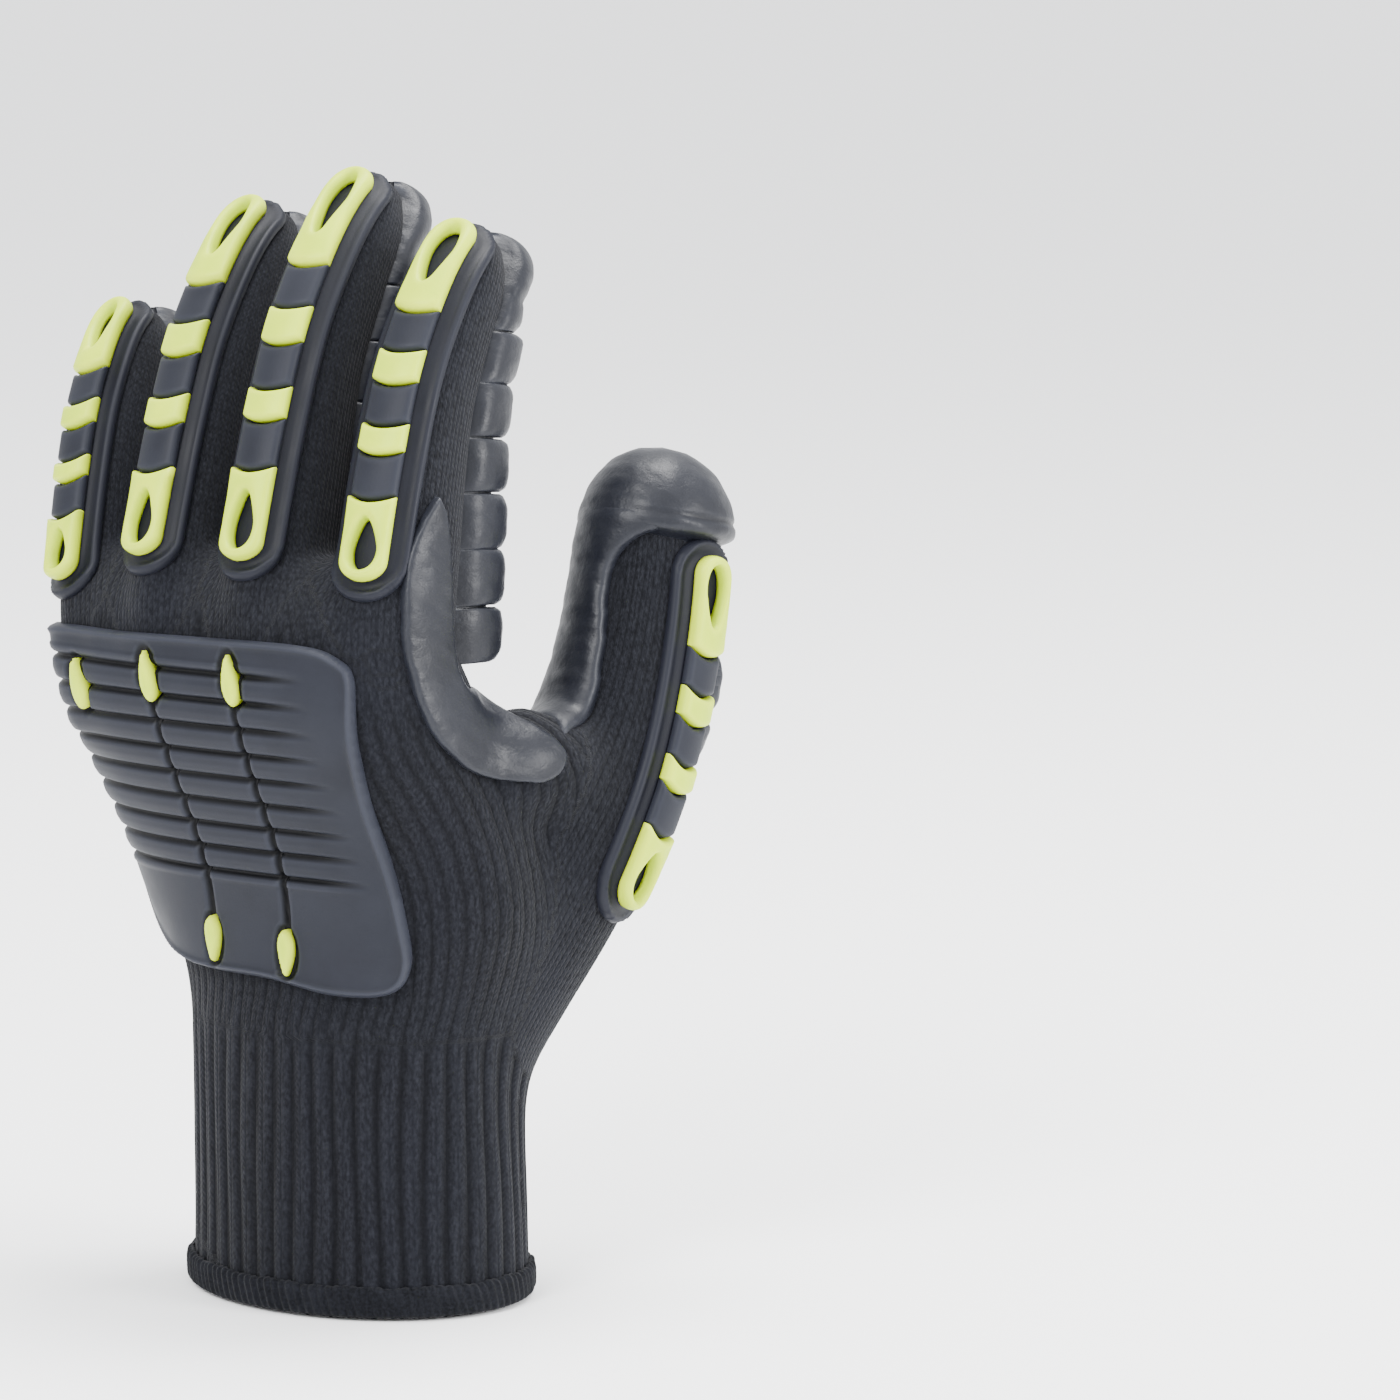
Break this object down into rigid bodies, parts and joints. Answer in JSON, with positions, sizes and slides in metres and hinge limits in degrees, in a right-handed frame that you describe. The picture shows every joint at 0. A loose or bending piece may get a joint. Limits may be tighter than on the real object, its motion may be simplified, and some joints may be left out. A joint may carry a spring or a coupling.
{
  "type": "anti vibration glove",
  "caption": "Knitted work glove in its worn form, open at the cuff, with ribbed foam pads on the palm side and moulded rubber guards over the back, fingers and thumb",
  "frame": {"origin": "centre of the cuff's opening, level with the hem, where the wrist goes in", "axes": "+Z from the cuff to the fingertips, +X to the thumb side, +Y to the palm side, so the back of the hand faces -Y"},
  "size_m": [0.144, 0.12, 0.2536],
  "materials": {
    "charcoal_knit": "matt charcoal rib knit",
    "overlock_thread": "matt dark overlock stitching",
    "grey_foam_rubber": "satin coated foam rubber",
    "black_guard_rubber": "satin moulded rubber",
    "grey_guard_rubber": "satin moulded rubber",
    "signal_yellow_rubber": "satin yellow moulded rubber"
  },
  "bodies": {
    "root": {"liner": "charcoal_knit", "cuff_hem": "overlock_thread", "index_guard": "black_guard_rubber", "index_base_loop": "signal_yellow_rubber", "index_low_chevron": "signal_yellow_rubber", "index_high_chevron": "signal_yellow_rubber", "index_tip_loop": "signal_yellow_rubber", "index_pad": "grey_foam_rubber", "middle_guard": "black_guard_rubber", "middle_base_loop": "signal_yellow_rubber", "middle_low_chevron": "signal_yellow_rubber", "middle_high_chevron": "signal_yellow_rubber", "middle_tip_loop": "signal_yellow_rubber", "middle_pad": "grey_foam_rubber", "ring_guard": "black_guard_rubber", "ring_base_loop": "signal_yellow_rubber", "ring_low_chevron": "signal_yellow_rubber", "ring_high_chevron": "signal_yellow_rubber", "ring_tip_loop": "signal_yellow_rubber", "ring_pad": "grey_foam_rubber", "little_guard": "black_guard_rubber", "little_base_loop": "signal_yellow_rubber", "little_low_chevron": "signal_yellow_rubber", "little_high_chevron": "signal_yellow_rubber", "little_tip_loop": "signal_yellow_rubber", "little_pad": "grey_foam_rubber", "thumb_guard": "black_guard_rubber", "thumb_base_loop": "signal_yellow_rubber", "thumb_low_chevron": "signal_yellow_rubber", "thumb_high_chevron": "signal_yellow_rubber", "thumb_tip_loop": "signal_yellow_rubber", "thumb_pad": "grey_foam_rubber", "thumb_patch": "grey_foam_rubber", "crotch_patch": "grey_foam_rubber", "palm_pad": "grey_foam_rubber", "thenar_pad": "grey_foam_rubber", "back_plate": "grey_guard_rubber", "drop_outer": "signal_yellow_rubber", "drop_middle": "signal_yellow_rubber", "drop_inner": "signal_yellow_rubber", "drop_low_outer": "signal_yellow_rubber", "drop_low_inner": "signal_yellow_rubber"}
  },
  "joints": []
}
